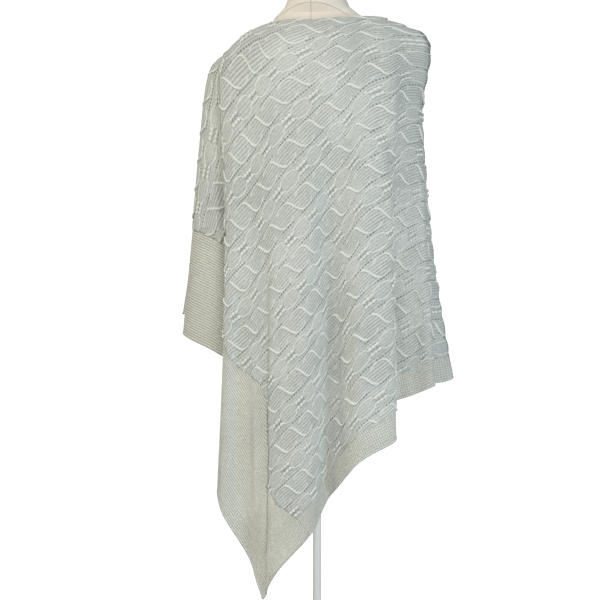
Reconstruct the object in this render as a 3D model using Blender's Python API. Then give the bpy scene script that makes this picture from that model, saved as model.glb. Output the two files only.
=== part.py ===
"""Knitted poncho sweater draped over a limbless dress form on a round stand.

The poncho is one knitted rectangle folded over the wearer's right shoulder (+X) and seamed
over the left one. The back faces -Y. Each half is cut flat as u (along the knitting, from the
shoulder fold) by v (across it, from the neck edge), and hangs in straight lines that leave
the ridge of shoulders and neck at the angle `lay`.
"""

import math

import bmesh
import bpy
import numpy as np

# ---------------------------------------------------------------- driving sizes (metres)
HALF_LENGTH = 0.882         # shoulder fold to end edge
WIDTH = 0.770               # neck edge to lower edge
FRONT_TRIM = 0.020          # the front half hangs that much shorter
END_BAND = 0.195            # wide border across each end
SIDE_BAND = 0.044           # narrow border along the lower side
CLOTH_WALL = 0.0026
SEAM_GAP = 0.00060          # flat gap between pieces that are knitted or sewn together
NECK_END = 0.270            # length of neck edge from the fold to the start of the seam

CAP_Z, YOKE_Z, HEM_Z, END_Z = 1.300, 1.200, 0.600, 0.150
CAP_STEPS, FALL_STEPS = 16, 16
CAP_LEAD, CAP_DROP, YOKE_LEAD = 0.95, 0.25, 0.45   # how a hanging line bends over the shoulders
SLIP_REACH = 0.10

PANEL_U, PANEL_V = 28, 28   # facets along and across a panel
END_STEPS, SIDE_STEPS = 6, 2

TORSO_SIDES, TORSO_LEVELS = 40, 48
TORSO_FLOOR = 0.760
SQUARENESS = 2.1            # of the form's level rings, where 2 is an ellipse
FIT_REACH, FIT_STEPS, FIT_PASSES, FIT_FLOOR, NECK_REACH = 0.45, 110, 4, 0.9, 0.014
NECK_TOP = 1.470
NECK_RADIUS = 0.0545
FORM_CLEAR = 0.0056         # cloth centre to the form, square to the cloth
NECK_CAP_HEIGHT = 0.012
NECK_CAP_EDGE = 0.003
POLE_RADIUS = 0.008
BASE_RADIUS = 0.170
BASE_HEIGHT = 0.024
BASE_EDGE = 0.006
CONTACT_GAP = 0.0003
PROBE = 0.004               # flat distance over which a slope is read
SHARP_ANGLE = math.radians(50)

# The ridge from the top of the side seam, over the left shoulder, round the neck edge and out
# along the fold on the right shoulder. `slip` is how far the cloth has slid down below it.
# name, along, x, y, z, lay (degrees from the knitting), slip
RIDGE = (
    ("side_top", 0.000, -0.199, 0.000, 1.304, 0, 0.000),
    ("shoulder_left", 0.060, -0.160, 0.000, 1.334, 30, 0.034),
    ("neck_left", 0.115, -0.104, 0.000, 1.376, 41.5, 0.096),
    ("nape_left", 0.175, -0.058, -0.060, 1.374, 47.0, 0.042),
    ("nape", 0.245, 0.005, -0.080, 1.372, 52.5, -0.008),
    ("nape_right", 0.315, 0.066, -0.060, 1.379, 58.0, -0.018),
    ("neck_right", 0.385, 0.112, 0.000, 1.389, 65.0, -0.018),
    ("shoulder_right", 0.430, 0.153, 0.000, 1.377, 76, -0.028),
    ("fold_tip", 0.467, 0.188, 0.000, 1.362, 90, -0.024),
)
ALONG, RIDGE_X, RIDGE_Y, RIDGE_Z, LAY, SLIP = range(1, 7)
SEAM_TURN = 0.385           # ridge length where the neck edge meets the shoulder fold

# Crests and dips of the folds, in the order they follow each other round the body.
# name, lay, cap x, cap y, yoke x, yoke y, hem x, hem y, bow (how late the fold flares)
BACK_FOLDS = (
    ("side_seam", 0, -0.202, 0.012, -0.206, 0.020, -0.250, 0.045, 0.0),
    ("side_face", 5, -0.205, -0.008, -0.213, -0.012, -0.270, -0.010, 0.0),
    ("side_turn", 12, -0.198, -0.026, -0.206, -0.044, -0.240, -0.072, 0.0),
    ("slot_mouth", 19, -0.190, -0.038, -0.188, -0.066, -0.175, -0.096, 0.0),
    ("slot_deep", 27, -0.180, -0.048, -0.168, -0.078, -0.092, -0.122, 0.0),
    ("slot_back", 33, -0.170, -0.062, -0.162, -0.094, -0.084, -0.146, 0.0),
    ("slot_lip", 37, -0.156, -0.076, -0.160, -0.112, -0.126, -0.160, 0.0),
    ("end_roll", 43, -0.118, -0.094, -0.122, -0.130, -0.146, -0.176, 0.0),
    ("end_dip", 46, -0.090, -0.104, -0.094, -0.137, -0.098, -0.170, 0.0),
    ("end_crest", 50, -0.052, -0.112, -0.052, -0.144, -0.052, -0.188, 0.0),
    ("blade", 53.5, 0.006, -0.118, 0.000, -0.148, 0.006, -0.190, 0.0),
    ("mid_dip", 57.5, 0.052, -0.116, 0.050, -0.144, 0.040, -0.142, 0.3),
    ("mid_crest", 61, 0.092, -0.108, 0.094, -0.136, 0.090, -0.176, 0.0),
    ("edge_crest", 64.5, 0.126, -0.094, 0.136, -0.120, 0.152, -0.150, 0.0),
    ("edge_slot", 71, 0.156, -0.072, 0.158, -0.092, 0.118, -0.104, 0.0),
    ("flute_inner", 77, 0.182, -0.052, 0.176, -0.072, 0.184, -0.080, 0.0),
    ("flute_crest", 83.5, 0.222, -0.030, 0.191, -0.044, 0.228, -0.074, 0.0),
    ("flute_dip", 87.5, 0.236, -0.012, 0.195, -0.018, 0.230, -0.022, 0.0),
    ("fold_edge", 90, 0.240, 0.008, 0.196, 0.012, 0.280, 0.030, 0.75),
)
FRONT_FOLDS = (
    ("side_seam", 0, -0.202, 0.012, -0.206, 0.020, -0.250, 0.045, 0.0),
    ("side_ridge", 8, -0.196, 0.034, -0.208, 0.052, -0.314, 0.104, 0.0),
    ("side_dip", 16, -0.186, 0.050, -0.190, 0.078, -0.216, 0.118, 0.0),
    ("crest_1", 25, -0.176, 0.066, -0.178, 0.098, -0.218, 0.188, 0.0),
    ("dip_1", 33, -0.152, 0.082, -0.150, 0.116, -0.160, 0.142, 0.0),
    ("crest_2", 40, -0.120, 0.098, -0.122, 0.134, -0.160, 0.212, 0.0),
    ("dip_2", 46, -0.080, 0.112, -0.084, 0.144, -0.116, 0.156, 0.0),
    ("crest_3", 53, -0.028, 0.120, -0.034, 0.152, -0.066, 0.216, 0.0),
    ("dip_3", 60, 0.034, 0.118, 0.030, 0.148, 0.006, 0.154, 0.0),
    ("crest_4", 66, 0.086, 0.110, 0.088, 0.136, 0.084, 0.200, 0.0),
    ("dip_4", 73, 0.132, 0.090, 0.138, 0.110, 0.128, 0.128, 0.0),
    ("crest_5", 80, 0.176, 0.060, 0.178, 0.078, 0.206, 0.138, 0.0),
    ("dip_5", 86, 0.212, 0.032, 0.192, 0.042, 0.204, 0.070, 0.0),
    ("fold_edge", 90, 0.240, 0.008, 0.196, 0.012, 0.280, 0.030, 0.75),
)
FOLD_LAY, CAP_XY, YOKE_XY, HEM_XY, BOW = 1, 2, 4, 6, 8
BACK, FRONT = 1, -1
FOLDS = {BACK: BACK_FOLDS, FRONT: FRONT_FOLDS}

# Levels of the form, whose shoulders then settle under the cloth.
# name, z, left, right, back, front
TORSO = (
    ("floor", 0.760, -0.140, 0.140, -0.088, 0.088),
    ("seat", 0.772, -0.150, 0.150, -0.095, 0.095),
    ("hip", 0.840, -0.158, 0.158, -0.098, 0.100),
    ("high_hip", 0.920, -0.148, 0.148, -0.092, 0.096),
    ("waist", 1.010, -0.122, 0.122, -0.084, 0.090),
    ("ribs", 1.090, -0.138, 0.140, -0.096, 0.108),
    ("bust", 1.160, -0.156, 0.160, -0.106, 0.122),
    ("blade", 1.220, -0.172, 0.172, -0.108, 0.112),
    ("arm_plate", 1.270, -0.184, 0.178, -0.098, 0.092),
    ("arm_top", 1.300, -0.186, 0.184, -0.086, 0.078),
    ("slope_low", 1.325, -0.168, 0.184, -0.074, 0.066),
    ("slope_mid", 1.350, -0.136, 0.176, -0.066, 0.058),
    ("slope_high", 1.372, -0.106, 0.130, -0.056, 0.050),
    ("neck_foot", 1.390, -0.084, 0.090, -0.042, 0.040),
    ("neck_low", 1.408, -0.063, 0.064, -0.052, 0.052),
    ("neck_slim", 1.420, -0.057, 0.057, -0.053, 0.053),
    ("neck_mid", 1.440, -0.054, 0.055, -0.051, 0.056),
    ("neck_top", 1.470, -0.052, 0.053, -0.049, 0.056),
)

# name, colour, roughness, metallic
FINISHES = {
    "knit": ((0.780, 0.790, 0.730), 0.90, 0.0),
    "knit_border": ((0.800, 0.790, 0.690), 0.90, 0.0),
    "form_jersey": ((0.790, 0.690, 0.560), 0.85, 0.0),
    "white_enamel": ((0.860, 0.860, 0.850), 0.35, 0.0),
}


# ---------------------------------------------------------------- how the cloth hangs
def smooth(keys, values, at):
    """Cubic through rows of (key, value), with slopes weighted by the shorter gap."""
    keys = np.asarray(keys, float)
    values = np.asarray(values, float)
    gap = np.diff(keys)
    rise = np.diff(values) / gap
    slope = np.empty_like(values)
    slope[1:-1] = (rise[:-1] * gap[1:] + rise[1:] * gap[:-1]) / (gap[1:] + gap[:-1])
    slope[0], slope[-1] = rise[0], rise[-1]
    at = np.clip(at, keys[0], keys[-1])
    i = np.clip(np.searchsorted(keys, at, side="right") - 1, 0, len(gap) - 1)
    t = (at - keys[i]) / gap[i]
    start = (2 * t**3 - 3 * t**2 + 1) * values[i] + (t**3 - 2 * t**2 + t) * gap[i] * slope[i]
    end = (3 * t**2 - 2 * t**3) * values[i + 1] + (t**3 - t**2) * gap[i] * slope[i + 1]
    return start + end


def column(rows, k):
    return [row[k] for row in rows]


def ridge_value(k, along):
    return smooth(column(RIDGE, ALONG), column(RIDGE, k), along)


def flat_ridge(along):
    """Where the ridge lies on the flat cloth: along the neck side, then up the fold."""
    return np.maximum(SEAM_TURN - along, 0.0), np.maximum(along - SEAM_TURN, 0.0)


def hang_of(u, v):
    """Ridge length and hanging length of the flat points (u, v), by bisection."""
    low, high = np.zeros_like(u), np.full_like(u, RIDGE[-1][ALONG])
    for _ in range(36):
        middle = (low + high) / 2
        ridge_u, ridge_v = flat_ridge(middle)
        lay = np.radians(ridge_value(LAY, middle))
        before = (u - ridge_u) * np.sin(lay) > (v - ridge_v) * np.cos(lay)
        high = np.where(before, middle, high)
        low = np.where(before, low, middle)
    ridge_u, ridge_v = flat_ridge(middle)
    return middle, np.hypot(u - ridge_u, v - ridge_v)


def hang_lines(along, side):
    """Points down each hanging line, and the length run to each of them."""
    rows = FOLDS[side]
    lay = ridge_value(LAY, along)
    lays = column(rows, FOLD_LAY)
    top = np.stack([ridge_value(RIDGE_X, along), side * np.minimum(ridge_value(RIDGE_Y, along), 0.0),
                    ridge_value(RIDGE_Z, along)], 1)
    cap, yoke, hem = (
        np.stack([smooth(lays, column(rows, k), lay), smooth(lays, column(rows, k + 1), lay),
                  np.full_like(lay, z)], 1)
        for k, z in ((CAP_XY, CAP_Z), (YOKE_XY, YOKE_Z), (HEM_XY, HEM_Z)))
    bow = smooth(lays, column(rows, BOW), lay)[:, None, None]
    share = np.linspace(0, (YOKE_Z - END_Z) / (YOKE_Z - HEM_Z), FALL_STEPS + 1)[None, :, None]
    bent = np.where(share < 1, share * (1 + bow * (share - 1)), 1 + (share - 1) * (1 + bow))
    fall = yoke[:, None] + (hem - yoke)[:, None] * bent
    fall[..., 2] = YOKE_Z + (HEM_Z - YOKE_Z) * share[..., 0]
    lead = fall[:, 1] - fall[:, 0]
    lead /= np.linalg.norm(lead, axis=1, keepdims=True)
    reach = np.linalg.norm(yoke - top, axis=1)[:, None]
    high = top + (cap - top) * CAP_LEAD
    high[:, 2] = top[:, 2] - CAP_DROP * (top[:, 2] - CAP_Z)
    low = yoke - lead * reach * YOKE_LEAD
    t = np.linspace(0, 1, CAP_STEPS + 1)[None, :-1, None]
    over = ((1 - t)**3 * top[:, None] + 3 * (1 - t)**2 * t * high[:, None]
            + 3 * (1 - t) * t**2 * low[:, None] + t**3 * yoke[:, None])
    line = np.concatenate([over, fall], 1)
    steps = np.linalg.norm(np.diff(line, axis=1), axis=2)
    return line, np.concatenate([np.zeros((len(lay), 1)), np.cumsum(steps, axis=1)], 1)


def spot(u, v, side):
    """The place in space of flat points (u, v) of one half."""
    shape = np.shape(u)
    along, hang = hang_of(np.ravel(u).astype(float), np.ravel(v).astype(float))
    hang = hang + ridge_value(SLIP, along) * (1 - np.exp(-hang / SLIP_REACH))
    line, run = hang_lines(along, side)
    k = np.clip((run <= hang[:, None]).sum(1) - 1, 0, run.shape[1] - 2)
    n = np.arange(len(hang))
    t = ((hang - run[n, k]) / (run[n, k + 1] - run[n, k]))[:, None]
    return (line[n, k] * (1 - t) + line[n, k + 1] * t).reshape(*shape, 3)


def facing(u, v, side):
    """Unit normals that point out of the body."""
    along_u = spot(u + PROBE, v, side) - spot(np.maximum(u - PROBE, 0), v, side)
    along_v = spot(u, v + PROBE, side) - spot(u, np.maximum(v - PROBE, 0), side)
    normal = np.cross(along_u, along_v) * side
    return normal / np.linalg.norm(normal, axis=-1, keepdims=True)


def shared_facing(u, v, side):
    """As facing, but along the seam and the fold both halves take the same normal."""
    normal = facing(u, v, side)
    both = normal + facing(u, v, -side)
    both /= np.linalg.norm(both, axis=-1, keepdims=True)
    seam = (v < SEAM_GAP) & (u > NECK_END)
    fold = u < SEAM_GAP
    return np.where((seam | fold)[..., None], both, normal)


# ---------------------------------------------------------------- solids
def wall_object(name, us, vs, side, finish):
    """A cloth wall over the flat grid us by vs, closed round its edges."""
    u, v = np.meshgrid(us, vs, indexing="ij")
    centre = spot(u, v, side)
    normal = shared_facing(u, v, side)
    outer, inner = centre + normal * CLOTH_WALL / 2, centre - normal * CLOTH_WALL / 2
    rows, cols = u.shape
    bm = bmesh.new()
    grids = [[[bm.verts.new(p) for p in line] for line in skin] for skin in (outer, inner)]
    for i in range(rows - 1):
        for j in range(cols - 1):
            for skin, turn in zip(grids, (side, -side)):
                quad = [skin[i][j], skin[i + 1][j], skin[i + 1][j + 1], skin[i][j + 1]]
                bm.faces.new(quad if turn > 0 else quad[::-1])
    rim = ([(i, 0) for i in range(rows)] + [(rows - 1, j) for j in range(1, cols)]
           + [(i, cols - 1) for i in range(rows - 2, -1, -1)] + [(0, j) for j in range(cols - 2, 0, -1)])
    for (i, j), (k, m) in zip(rim, rim[1:] + rim[:1]):
        quad = [grids[0][k][m], grids[0][i][j], grids[1][i][j], grids[1][k][m]]
        bm.faces.new(quad if side > 0 else quad[::-1])
    return finished(bm, name, finish)


def finished(bm, name, finish):
    """Turns a bmesh into a named object with its own material."""
    bmesh.ops.triangulate(bm, faces=[f for f in bm.faces if len(f.verts) == 4])
    mesh = bpy.data.meshes.new(name)
    bm.to_mesh(mesh)
    bm.free()
    mesh.shade_smooth()
    mesh.set_sharp_from_angle(angle=SHARP_ANGLE)
    return placed(name, mesh, finish)


def placed(name, mesh, finish):
    colour, roughness, metallic = FINISHES[finish]
    material = bpy.data.materials.new(name)
    material.use_nodes = True
    shader = material.node_tree.nodes["Principled BSDF"]
    shader.inputs["Base Color"].default_value = (*colour, 1.0)
    shader.inputs["Roughness"].default_value = roughness
    shader.inputs["Metallic"].default_value = metallic
    mesh.materials.append(material)
    obj = bpy.data.objects.new(name, mesh)
    parts.objects.link(obj)
    return obj


def steps(start, end, count):
    """Flat positions from start to end, held back from each seam by half its gap."""
    return np.linspace(start + SEAM_GAP / 2, end - SEAM_GAP / 2, count + 1)


def make_half(side, word):
    """Panel, wide end border and narrow side border of one half."""
    length = HALF_LENGTH - (FRONT_TRIM if side == FRONT else 0.0)
    panel_u, panel_v = HALF_LENGTH - END_BAND, WIDTH - SIDE_BAND
    us = steps(0.0, panel_u, PANEL_U)
    vs = steps(0.0, panel_v, PANEL_V)
    side_vs = steps(panel_v, WIDTH, SIDE_STEPS)
    end_us = steps(panel_u, length, END_STEPS)
    wall_object(word + "_panel", us, vs, side, "knit")
    wall_object(word + "_side_band", us, side_vs, side, "knit_border")
    wall_object(word + "_end_band", end_us, np.concatenate([vs, side_vs]), side, "knit_border")


def under_cloth(points):
    """Draws form points in wherever they stand closer to the cloth than FORM_CLEAR.

    A point well inside the neck edge stands in the open neck, and stays.
    """
    u, v = np.meshgrid(np.linspace(0, FIT_REACH, FIT_STEPS), np.linspace(0, FIT_REACH, FIT_STEPS),
                       indexing="ij")
    cloth = np.concatenate([spot(u, v, side).reshape(-1, 3) for side in FOLDS])
    neck_edge = np.tile(((v == 0) & (u < NECK_END)).ravel(), len(FOLDS))
    normal = np.concatenate([facing(u, v, side).reshape(-1, 3) for side in FOLDS])
    for _ in range(FIT_PASSES):
        near = np.array([np.sum((cloth - p) ** 2, axis=1).argmin() for p in points])
        away = cloth[near] - points
        in_neck = neck_edge[near] & (np.linalg.norm(away, axis=1) > NECK_REACH)
        room = np.where(in_neck, FORM_CLEAR, np.sum(away * normal[near], axis=1))
        points = points - normal[near] * np.maximum(FORM_CLEAR - room, 0.0)[:, None]
    return points


def make_torso():
    """A loft through level rings, each a superellipse between its four extents."""
    angles = np.linspace(0, 2 * np.pi, TORSO_SIDES, endpoint=False)
    cosine, sine = np.cos(angles), np.sin(angles)
    levels = np.linspace(TORSO[0][1], TORSO[-1][1], TORSO_LEVELS)
    heights = column(TORSO, 1)
    levels = np.unique(np.round(np.concatenate([levels, heights[:2]]), 4))
    bm = bmesh.new()
    rings = []
    for z in levels:
        left, right, back, front = (smooth(heights, column(TORSO, k), z) for k in range(2, 6))
        half, middle = (right - left) / 2, (right + left) / 2
        x = middle + half * np.sign(cosine) * np.abs(cosine) ** (2 / SQUARENESS)
        y = np.where(sine > 0, front, -back) * np.sign(sine) * np.abs(sine) ** (2 / SQUARENESS)
        ring = np.stack([x, y, np.full_like(x, z)], 1)
        rings.append([bm.verts.new(p) for p in (under_cloth(ring) if z > FIT_FLOOR else ring)])
    for low, high in zip(rings, rings[1:]):
        for k in range(TORSO_SIDES):
            m = (k + 1) % TORSO_SIDES
            bm.faces.new((low[k], low[m], high[m], high[k]))
    bm.faces.new(rings[0][::-1])
    bm.faces.new(rings[-1])
    finished(bm, "form_torso", "form_jersey")


def turned(name, profile, finish, sides=48):
    """A closed profile of (radius, z) on the axis, turned about Z."""
    bm = bmesh.new()
    verts = [bm.verts.new((radius, 0.0, z)) for radius, z in profile]
    edges = [bm.edges.new(pair) for pair in zip(verts, verts[1:])]
    bmesh.ops.spin(bm, geom=verts + edges, axis=(0, 0, 1), cent=(0, 0, 0),
                   angle=2 * math.pi, steps=sides, use_duplicate=False)
    bmesh.ops.remove_doubles(bm, verts=bm.verts, dist=1e-6)
    bmesh.ops.recalc_face_normals(bm, faces=bm.faces)
    return finished(bm, name, finish)


def rounded_disc(radius, low, high, edge):
    """Profile of a disc from z low to high, its outer edges rounded."""
    arc = np.linspace(0, math.pi / 2, 5)
    under = [(radius - edge + edge * math.sin(a), low + edge - edge * math.cos(a)) for a in arc]
    upper = [(radius - edge + edge * math.cos(a), high - edge + edge * math.sin(a)) for a in arc]
    return [(0.0, low)] + under + upper + [(0.0, high)]


for old in list(bpy.data.objects):
    bpy.data.objects.remove(old, do_unlink=True)
parts = bpy.data.collections.new("knitted_poncho")
bpy.context.scene.collection.children.link(parts)

make_half(BACK, "back")
make_half(FRONT, "front")
make_torso()
turned("form_neck_cap", rounded_disc(NECK_RADIUS * 0.9, NECK_TOP + CONTACT_GAP,
                                     NECK_TOP + CONTACT_GAP + NECK_CAP_HEIGHT, NECK_CAP_EDGE),
       "white_enamel", sides=36)
pole_low = BASE_HEIGHT + CONTACT_GAP
pole_high = TORSO_FLOOR - CONTACT_GAP
turned("stand_pole", [(0.0, pole_low), (POLE_RADIUS, pole_low), (POLE_RADIUS, pole_high),
                      (0.0, pole_high)], "white_enamel", sides=24)
turned("stand_base", rounded_disc(BASE_RADIUS, 0.0, BASE_HEIGHT, BASE_EDGE), "white_enamel")
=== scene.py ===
import math

import bmesh
import bpy
import numpy as np
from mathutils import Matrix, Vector


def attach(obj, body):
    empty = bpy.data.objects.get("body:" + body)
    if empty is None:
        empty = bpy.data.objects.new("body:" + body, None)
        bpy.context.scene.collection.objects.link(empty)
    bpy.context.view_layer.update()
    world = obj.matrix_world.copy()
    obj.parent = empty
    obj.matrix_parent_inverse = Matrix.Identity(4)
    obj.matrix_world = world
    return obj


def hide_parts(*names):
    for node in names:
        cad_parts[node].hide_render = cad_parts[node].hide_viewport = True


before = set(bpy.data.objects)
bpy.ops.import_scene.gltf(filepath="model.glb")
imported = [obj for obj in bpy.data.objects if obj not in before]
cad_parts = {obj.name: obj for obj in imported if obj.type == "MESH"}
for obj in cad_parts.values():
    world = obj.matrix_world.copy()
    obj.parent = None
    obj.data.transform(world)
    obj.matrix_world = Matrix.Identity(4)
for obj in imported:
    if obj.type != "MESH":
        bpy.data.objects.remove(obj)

bl_info = {
    "name": "Knitted Poncho",
    "version": (1, 0, 0),
    "blender": (4, 5, 0),
    "location": "View3D > Sidebar > Poncho",
    "description": "Cable-knit poncho draped over a dress form",
    "category": "Object",
}

# ---------------------------------------------------------------- the cut and how it hangs
HALF_LENGTH = 0.882
WIDTH = 0.770
FRONT_TRIM = 0.020
END_BAND = 0.195
SIDE_BAND = 0.044
NECK_END = 0.270
PANEL_LENGTH = HALF_LENGTH - END_BAND
PANEL_WIDTH = WIDTH - SIDE_BAND

CAP_Z, YOKE_Z, HEM_Z, END_Z = 1.300, 1.200, 0.600, 0.150
CAP_STEPS, FALL_STEPS = 24, 24
CAP_LEAD, CAP_DROP, YOKE_LEAD = 0.95, 0.25, 0.45
SLIP_REACH = 0.10
LATTICE, LATTICE_SPARE = 0.003, 8
JOIN_SOFTNESS = 0.004        # over this the two halves' normals meet at the fold and the seam

# name, along, x, y, z, lay (degrees from the knitting), slip
RIDGE = (
    ("side_top", 0.000, -0.199, 0.000, 1.304, 0, 0.000),
    ("shoulder_left", 0.060, -0.160, 0.000, 1.334, 30, 0.034),
    ("neck_left", 0.115, -0.104, 0.000, 1.376, 41.5, 0.096),
    ("nape_left", 0.175, -0.058, -0.060, 1.374, 47.0, 0.042),
    ("nape", 0.245, 0.005, -0.080, 1.372, 52.5, -0.008),
    ("nape_right", 0.315, 0.066, -0.060, 1.379, 58.0, -0.018),
    ("neck_right", 0.385, 0.112, 0.000, 1.389, 65.0, -0.018),
    ("shoulder_right", 0.430, 0.153, 0.000, 1.377, 76, -0.028),
    ("fold_tip", 0.467, 0.188, 0.000, 1.362, 90, -0.024),
)
ALONG, RIDGE_X, RIDGE_Y, RIDGE_Z, LAY, SLIP = range(1, 7)
SEAM_TURN = 0.385

# name, lay, cap x, cap y, yoke x, yoke y, hem x, hem y, bow
BACK_FOLDS = (
    ("side_seam", 0, -0.202, 0.012, -0.206, 0.020, -0.250, 0.045, 0.0),
    ("side_face", 5, -0.205, -0.008, -0.213, -0.012, -0.270, -0.010, 0.0),
    ("side_turn", 12, -0.198, -0.026, -0.206, -0.044, -0.240, -0.072, 0.0),
    ("slot_mouth", 19, -0.190, -0.038, -0.188, -0.066, -0.175, -0.096, 0.0),
    ("slot_deep", 27, -0.180, -0.048, -0.168, -0.078, -0.092, -0.122, 0.0),
    ("slot_back", 33, -0.170, -0.062, -0.162, -0.094, -0.084, -0.146, 0.0),
    ("slot_lip", 37, -0.156, -0.076, -0.160, -0.112, -0.126, -0.160, 0.0),
    ("end_roll", 43, -0.118, -0.094, -0.122, -0.130, -0.146, -0.176, 0.0),
    ("end_dip", 46, -0.090, -0.104, -0.094, -0.137, -0.098, -0.170, 0.0),
    ("end_crest", 50, -0.052, -0.112, -0.052, -0.144, -0.052, -0.188, 0.0),
    ("blade", 53.5, 0.006, -0.118, 0.000, -0.148, 0.006, -0.190, 0.0),
    ("mid_dip", 57.5, 0.052, -0.116, 0.050, -0.144, 0.040, -0.142, 0.3),
    ("mid_crest", 61, 0.092, -0.108, 0.094, -0.136, 0.090, -0.176, 0.0),
    ("edge_crest", 64.5, 0.126, -0.094, 0.136, -0.120, 0.152, -0.150, 0.0),
    ("edge_slot", 71, 0.156, -0.072, 0.158, -0.092, 0.118, -0.104, 0.0),
    ("flute_inner", 77, 0.182, -0.052, 0.176, -0.072, 0.184, -0.080, 0.0),
    ("flute_crest", 83.5, 0.222, -0.030, 0.191, -0.044, 0.228, -0.074, 0.0),
    ("flute_dip", 87.5, 0.236, -0.012, 0.195, -0.018, 0.230, -0.022, 0.0),
    ("fold_edge", 90, 0.240, 0.008, 0.196, 0.012, 0.280, 0.030, 0.75),
)
FRONT_FOLDS = (
    ("side_seam", 0, -0.202, 0.012, -0.206, 0.020, -0.250, 0.045, 0.0),
    ("side_ridge", 8, -0.196, 0.034, -0.208, 0.052, -0.314, 0.104, 0.0),
    ("side_dip", 16, -0.186, 0.050, -0.190, 0.078, -0.216, 0.118, 0.0),
    ("crest_1", 25, -0.176, 0.066, -0.178, 0.098, -0.218, 0.188, 0.0),
    ("dip_1", 33, -0.152, 0.082, -0.150, 0.116, -0.160, 0.142, 0.0),
    ("crest_2", 40, -0.120, 0.098, -0.122, 0.134, -0.160, 0.212, 0.0),
    ("dip_2", 46, -0.080, 0.112, -0.084, 0.144, -0.116, 0.156, 0.0),
    ("crest_3", 53, -0.028, 0.120, -0.034, 0.152, -0.066, 0.216, 0.0),
    ("dip_3", 60, 0.034, 0.118, 0.030, 0.148, 0.006, 0.154, 0.0),
    ("crest_4", 66, 0.086, 0.110, 0.088, 0.136, 0.084, 0.200, 0.0),
    ("dip_4", 73, 0.132, 0.090, 0.138, 0.110, 0.128, 0.128, 0.0),
    ("crest_5", 80, 0.176, 0.060, 0.178, 0.078, 0.206, 0.138, 0.0),
    ("dip_5", 86, 0.212, 0.032, 0.192, 0.042, 0.204, 0.070, 0.0),
    ("fold_edge", 90, 0.240, 0.008, 0.196, 0.012, 0.280, 0.030, 0.75),
)
FOLD_LAY, CAP_XY, YOKE_XY, HEM_XY, BOW = 1, 2, 4, 6, 8
BACK, FRONT = 1, -1
FOLDS = {BACK: BACK_FOLDS, FRONT: FRONT_FOLDS}
WORDS = {BACK: "back", FRONT: "front"}

# Soft creases laid on the big folds, from one flat point to another.
# name, side, from u, from v, to u, to v, width, height (below zero is a trough)
CREASES = (
    ("shoulder_drag", BACK, 0.300, 0.045, 0.520, 0.170, 0.016, -0.0030),
    ("blade_drag", BACK, 0.200, 0.090, 0.420, 0.300, 0.020, -0.0026),
    ("nape_pucker", BACK, 0.120, 0.030, 0.230, 0.110, 0.014, -0.0022),
    ("waist_soft", BACK, 0.330, 0.330, 0.600, 0.640, 0.022, -0.0034),
    ("tip_ripple", BACK, 0.640, 0.560, 0.860, 0.700, 0.014, -0.0040),
    ("tip_roll", BACK, 0.600, 0.620, 0.870, 0.755, 0.012, 0.0030),
    ("flute_pinch", BACK, 0.080, 0.420, 0.230, 0.740, 0.014, -0.0036),
    ("right_drag", BACK, 0.030, 0.120, 0.150, 0.380, 0.018, 0.0026),
    ("end_valley", BACK, 0.46, 0.30, 0.92, 0.83, 0.0080, -0.0110),
    ("end_lip", BACK, 0.50, 0.28, 0.95, 0.81, 0.0150, 0.0060),
    ("end_groove", BACK, 0.58, 0.32, 0.87, 0.63, 0.0110, -0.0060),
    ("side_valley", BACK, 0.120, 0.200, 0.205, 0.840, 0.0140, -0.0120),
    ("mid_valley", BACK, 0.260, 0.230, 0.520, 0.760, 0.0200, -0.0100),
    ("slot_seam", BACK, 0.400, 0.020, 0.800, 0.200, 0.0100, -0.0080),
    ("chest_drag", FRONT, 0.250, 0.060, 0.470, 0.240, 0.018, -0.0030),
    ("bust_soft", FRONT, 0.150, 0.130, 0.360, 0.360, 0.024, 0.0030),
    ("front_roll", FRONT, 0.480, 0.420, 0.820, 0.690, 0.016, -0.0036),
    ("front_pinch", FRONT, 0.070, 0.380, 0.240, 0.720, 0.014, -0.0030),
)


def smooth(keys, values, at):
    """Cubic through rows of (key, value), with slopes weighted by the shorter gap."""
    keys = np.asarray(keys, float)
    values = np.asarray(values, float)
    gap = np.diff(keys)
    rise = np.diff(values) / gap
    slope = np.empty_like(values)
    slope[1:-1] = (rise[:-1] * gap[1:] + rise[1:] * gap[:-1]) / (gap[1:] + gap[:-1])
    slope[0], slope[-1] = rise[0], rise[-1]
    at = np.clip(at, keys[0], keys[-1])
    i = np.clip(np.searchsorted(keys, at, side="right") - 1, 0, len(gap) - 1)
    t = (at - keys[i]) / gap[i]
    start = (2 * t**3 - 3 * t**2 + 1) * values[i] + (t**3 - 2 * t**2 + t) * gap[i] * slope[i]
    end = (3 * t**2 - 2 * t**3) * values[i + 1] + (t**3 - t**2) * gap[i] * slope[i + 1]
    return start + end


def column(rows, k):
    return [row[k] for row in rows]


def ridge_value(k, along):
    return smooth(column(RIDGE, ALONG), column(RIDGE, k), along)


def flat_ridge(along):
    """Where the ridge lies on the flat cloth: along the neck side, then up the fold."""
    return np.maximum(SEAM_TURN - along, 0.0), np.maximum(along - SEAM_TURN, 0.0)


def hang_of(u, v):
    """Ridge length and hanging length of the flat points (u, v), by bisection."""
    low, high = np.zeros_like(u), np.full_like(u, RIDGE[-1][ALONG])
    for _ in range(30):
        middle = (low + high) / 2
        ridge_u, ridge_v = flat_ridge(middle)
        lay = np.radians(ridge_value(LAY, middle))
        before = (u - ridge_u) * np.sin(lay) > (v - ridge_v) * np.cos(lay)
        high = np.where(before, middle, high)
        low = np.where(before, low, middle)
    ridge_u, ridge_v = flat_ridge(middle)
    return middle, np.hypot(u - ridge_u, v - ridge_v)


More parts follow.
